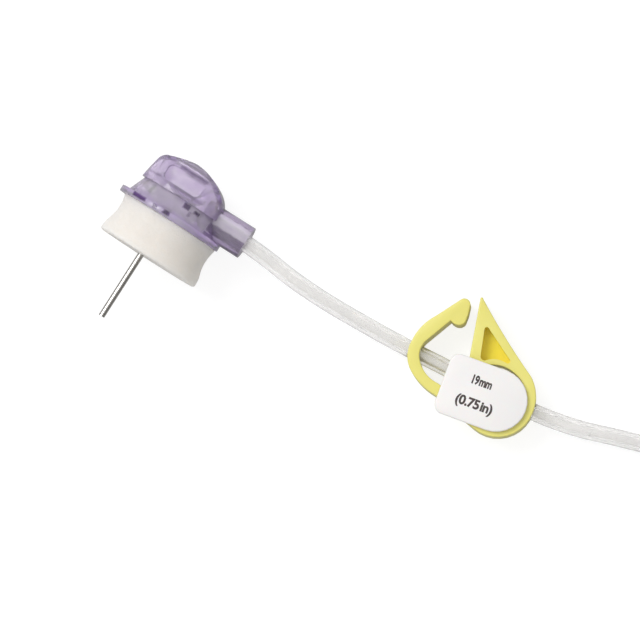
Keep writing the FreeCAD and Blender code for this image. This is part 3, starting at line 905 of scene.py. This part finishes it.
class NEEDLESET_OT_tag(bpy.types.Operator):
    """Make the white size tag and print the needle's length on it"""
    bl_idname = "needle_set.tag"
    bl_label = "Size Tag"

    def execute(self, context):
        turn = math.radians(TAG_ANGLE)

        def on_tag(x, y, z):
            dx, dy = x - TAG_END[0], y - TAG_END[1]
            return on_clamp(TAG_END[0] + dx * math.cos(turn) - dy * math.sin(turn),
                            TAG_END[1] + dx * math.sin(turn) + dy * math.cos(turn), z)

        top, foot = TAG_END[1] + TAG_END_RADIUS, TAG_END[1] - TAG_END_RADIUS
        near = TAG_CORNER * (1 - math.sqrt(0.5))
        outline = trace((TAG_LEFT + TAG_CORNER, foot), [
            (TAG_END[0], foot), ((TAG_END[0] + TAG_END_RADIUS, TAG_END[1]), (TAG_END[0], top)),
            (TAG_LEFT + TAG_CORNER, top), ((TAG_LEFT + near, top - near), (TAG_LEFT, top - TAG_CORNER)),
            (TAG_LEFT, foot + TAG_CORNER), ((TAG_LEFT + near, foot + near), (TAG_LEFT + TAG_CORNER, foot)),
        ], TAG_ARC_STEPS)
        low, high = TAG_LOW.z / MM, TAG_HIGH.z / MM
        tag = slab("size_tag_plate", outline, low, high, settings().tag_round / MM, tag_material(), on_tag)
        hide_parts("size_tag")
        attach(tag, "clamp")

        ink = ink_material()
        for name, text, centre, width, height, weight in (
                ("print_millimetres", settings().size_text, (13.39, 0.42), 3.35, 1.6, 0.04),
                ("print_inches", settings().size_text_inches, (13.84, -3.55), 6.3, 2.15, 0.035)):
            self.print_text(name, text, centre, width, height, weight, high, ink)
        return {"FINISHED"}

    def print_text(self, name, text, centre, width, height, weight, level, ink):
        """One line of print, fitted to a width and a height, lying on the tag."""
        font = bpy.data.curves.new(name, "FONT")
        font.body = text
        font.align_x = "CENTER"
        font.align_y = "CENTER"
        font.offset = weight
        font.space_character = LETTER_SPACE
        font.space_word = WORD_SPACE
        font.extrude = 0.004
        font.resolution_u = 4
        holder = bpy.data.objects.new(name + " type", font)
        bpy.context.scene.collection.objects.link(holder)
        mesh = bpy.data.meshes.new_from_object(holder.evaluated_get(bpy.context.evaluated_depsgraph_get()))
        bpy.data.objects.remove(holder)
        low = Vector([min(v.co[axis] for v in mesh.vertices) for axis in range(3)])
        high = Vector([max(v.co[axis] for v in mesh.vertices) for axis in range(3)])
        span = high - low
        size = Matrix.Diagonal((width * MM / span.x, height * MM / span.y, INK_DEPTH * MM / span.z, 1))
        turn = Matrix.Rotation(CLAMP_ANGLE + math.radians(TAG_ANGLE), 4, "Z")
        place = Matrix.Translation(on_clamp(*centre, level + INK_LIFT))
        mesh.transform(place @ turn @ size @ Matrix.Translation(-(low + high) / 2))
        mesh.materials.clear()
        mesh.materials.append(ink)
        obj = bpy.data.objects.new(name, mesh)
        bpy.context.scene.collection.objects.link(obj)
        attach(obj, "clamp")


class NEEDLESET_OT_luer(bpy.types.Operator):
    """Dress the luer connector and its cap at the tube's end"""
    bl_idname = "needle_set.luer"
    bl_label = "Luer Connector and Cap"

    def execute(self, context):
        dress_node("luer_connector", connector_material(), BROKEN_EDGE)
        dress_node("luer_cap", cap_material(), BROKEN_EDGE)
        return {"FINISHED"}


class NEEDLESET_OT_tube(bpy.types.Operator):
    """Lay the clear extension tube from the hub through the clamp and round its loop to the luer"""
    bl_idname = "needle_set.tube"
    bl_label = "Extension Tube"

    def execute(self, context):
        line = smooth_line(tube_route())
        outer, bore = settings().tube_radius, settings().bore_radius
        vertices, faces = hose(line, outer, bore)
        tube = new_piece("extension_tube_hose", vertices, faces, tube_material(), 50.0)
        length = sum((b - a).length for a, b in zip(line, line[1:]))
        print("tube length along its middle", round(length / MM, 1), "mm")
        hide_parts("extension_tube", "tube_coil", "tube_tail")
        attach(tube, "set")
        return {"FINISHED"}


# The photograph's frame: its scale, its turn about the line of sight and what lies in its middle
PIXELS = 640
PIXELS_PER_MM = 6.14
PHOTO_ROLL = 32.4
PHOTO_TILT = 4.9
PHOTO_LEAN = (0.6, -0.8)
PHOTO_CENTRE = (29.66, -0.38, 9.0)
LENS = 250.0
SENSOR = 36.0

# The key lamp's place from the middle, to the right, upwards in the picture and above it, in metres
KEY_OFFSET = (-0.27, 0.24, 0.54)
KEY_SIZE = 0.36
KEY_POWER = 2.2
DIM_SIDE = (0.75, -0.66)
FLOOR_DROP = 0.02 * MM
FLOOR_GLOW = 0.82
FLOOR_GLOSS_SHARE = 0.25
FLOOR_BOUNCE_SHARE = 0.65
ROOM_EVEN = 0.92


class NEEDLESET_OT_stage(bpy.types.Operator):
    """Set the pale floor, the soft lights and the camera"""
    bl_idname = "needle_set.stage"
    bl_label = "Floor, Light and Camera"

    def execute(self, context):
        target = on_floor(*PHOTO_CENTRE)
        roll = math.radians(PHOTO_ROLL)
        right = Vector((math.cos(roll), math.sin(roll), 0))
        upward = Vector((-math.sin(roll), math.cos(roll), 0))
        self.floor()
        self.world((DIM_SIDE[0] * right + DIM_SIDE[1] * upward).normalized())
        self.lamp(target, KEY_OFFSET[0] * right + KEY_OFFSET[1] * upward + Vector((0, 0, KEY_OFFSET[2])))
        self.camera(target, right, upward)
        context.scene.view_settings.view_transform = "Standard"
        return {"FINISHED"}

    def floor(self):
        """Pale floor that keeps the shadow: white to the camera and through clear plastic, and a soft light
        from below on the object, with less of it in gloss."""
        material = bpy.data.materials.new("studio floor")
        material.use_nodes = True
        tree = material.node_tree
        tree.nodes.remove(tree.nodes["Principled BSDF"])
        grain = cloud(tree, Scale=60.0, Detail=3.0)
        tone = mixed(tree, "RGBA", grain, (0.24, 0.24, 0.24, 1.0), (0.26, 0.26, 0.26, 1.0))
        matte = add(tree, "ShaderNodeBsdfDiffuse", {"Color": tone})
        ray = add(tree, "ShaderNodeLightPath").outputs
        gloss = maths(tree, "MULTIPLY", ray["Is Glossy Ray"], FLOOR_GLOSS_SHARE)
        bounce = maths(tree, "MULTIPLY_ADD", ray["Is Diffuse Ray"], FLOOR_BOUNCE_SHARE, gloss)
        seen = maths(tree, "MAXIMUM", ray["Is Camera Ray"], ray["Is Transmission Ray"])
        strength = maths(tree, "MULTIPLY", maths(tree, "ADD", bounce, seen), FLOOR_GLOW)
        glow = add(tree, "ShaderNodeEmission", {"Color": WHITE, "Strength": strength})
        both = add(tree, "ShaderNodeAddShader", {0: matte.outputs[0], 1: glow.outputs[0]})
        set_inputs(tree, tree.nodes["Material Output"], {"Surface": both.outputs[0]})
        reach = 3.0
        corners = [(-reach, -reach, 0), (reach, -reach, 0), (reach, reach, 0), (-reach, reach, 0)]
        floor = new_piece("studio_floor", corners, [[0, 1, 2, 3]], material)
        floor.location.z = -FLOOR_DROP

    def world(self, away):
        """Soft room: in gloss it is bright above, and dim low down and on the side away from the lamp. Matt
        faces see no dim side, and to the camera and through clear plastic it is white."""
        world = bpy.data.worlds.new("studio")
        bpy.context.scene.world = world
        world.use_nodes = True
        tree = world.node_tree
        tree.nodes.clear()
        place = add(tree, "ShaderNodeTexCoord").outputs["Generated"]
        ray = add(tree, "ShaderNodeLightPath").outputs
        parts = add(tree, "ShaderNodeSeparateXYZ", {"Vector": place})
        rise = ranged(tree, parts.outputs["Z"], 0.0, 0.75, 0.30, 0.85)
        side = add(tree, "ShaderNodeVectorMath", {0: place, 1: tuple(away)}, operation="DOT_PRODUCT")
        shade = ranged(tree, side.outputs["Value"], 0.05, 0.75, 1.0, 0.30)
        light = maths(tree, "MULTIPLY", rise, mixed(tree, "FLOAT", ray["Is Diffuse Ray"], shade, ROOM_EVEN))
        room = add(tree, "ShaderNodeBackground", {"Color": WHITE, "Strength": light})
        white = add(tree, "ShaderNodeBackground", {"Color": WHITE, "Strength": 1.0})
        clear = maths(tree, "MAXIMUM", ray["Is Camera Ray"], ray["Is Transmission Ray"])
        choice = add(tree, "ShaderNodeMixShader", {"Fac": clear, 1: room.outputs[0], 2: white.outputs[0]})
        add(tree, "ShaderNodeOutputWorld", {"Surface": choice.outputs[0]})

    def lamp(self, target, offset):
        light = bpy.data.lights.new("key", "AREA")
        light.shape = "DISK"
        light.size = KEY_SIZE
        light.energy = KEY_POWER
        obj = bpy.data.objects.new("key", light)
        obj.location = target + offset
        obj.rotation_mode = "QUATERNION"
        obj.rotation_quaternion = (-offset).to_track_quat("-Z", "Y")
        bpy.context.scene.collection.objects.link(obj)

    def camera(self, target, right, upward):
        """Looks down from a long way off, turned as the photograph is."""
        data = bpy.data.cameras.new("photo camera")
        data.lens = LENS
        data.sensor_width = SENSOR
        half_field = PIXELS / PIXELS_PER_MM / 2 * MM
        distance = half_field / (SENSOR / 2 / LENS)
        tilt = math.radians(PHOTO_TILT)
        lean = (PHOTO_LEAN[0] * right + PHOTO_LEAN[1] * upward).normalized()
        back = lean * math.sin(tilt) + Vector((0, 0, math.cos(tilt)))
        x_axis = (right - back * right.dot(back)).normalized()
        y_axis = back.cross(x_axis)
        camera = bpy.data.objects.new("photo camera", data)
        turn = Matrix((x_axis, y_axis, back)).transposed().to_4x4()
        camera.matrix_world = Matrix.Translation(target + back * distance) @ turn
        data.clip_start = 0.05
        data.clip_end = 20.0
        bpy.context.scene.collection.objects.link(camera)
        bpy.context.scene.camera = camera


class NEEDLESET_PT_panel(bpy.types.Panel):
    """Lists the set's pieces and its sizes and colours"""
    bl_idname = "NEEDLESET_PT_panel"
    bl_label = "Needle Set"
    bl_space_type = "VIEW_3D"
    bl_region_type = "UI"
    bl_category = "Needle Set"

    def draw(self, context):
        column = self.layout.column()
        for operator in OPERATORS:
            column.operator(operator.bl_idname)
        for name in NeedleSetSettings.__annotations__:
            column.prop(settings(), name)


OPERATORS = (NEEDLESET_OT_hub, NEEDLESET_OT_pad, NEEDLESET_OT_clamp, NEEDLESET_OT_tag, NEEDLESET_OT_luer,
             NEEDLESET_OT_tube, NEEDLESET_OT_stage)
CLASSES = (NeedleSetSettings, *OPERATORS, NEEDLESET_PT_panel)


def register():
    for item in CLASSES:
        bpy.utils.register_class(item)
    bpy.types.Scene.needle_set = PointerProperty(type=NeedleSetSettings)


def unregister():
    del bpy.types.Scene.needle_set
    for item in reversed(CLASSES):
        bpy.utils.unregister_class(item)


def main():
    register()
    bpy.ops.needle_set.hub()
    bpy.ops.needle_set.pad()
    bpy.ops.needle_set.clamp()
    bpy.ops.needle_set.tag()
    bpy.ops.needle_set.luer()
    bpy.ops.needle_set.tube()
    bpy.ops.needle_set.stage()


if __name__ == "__main__":
    main()
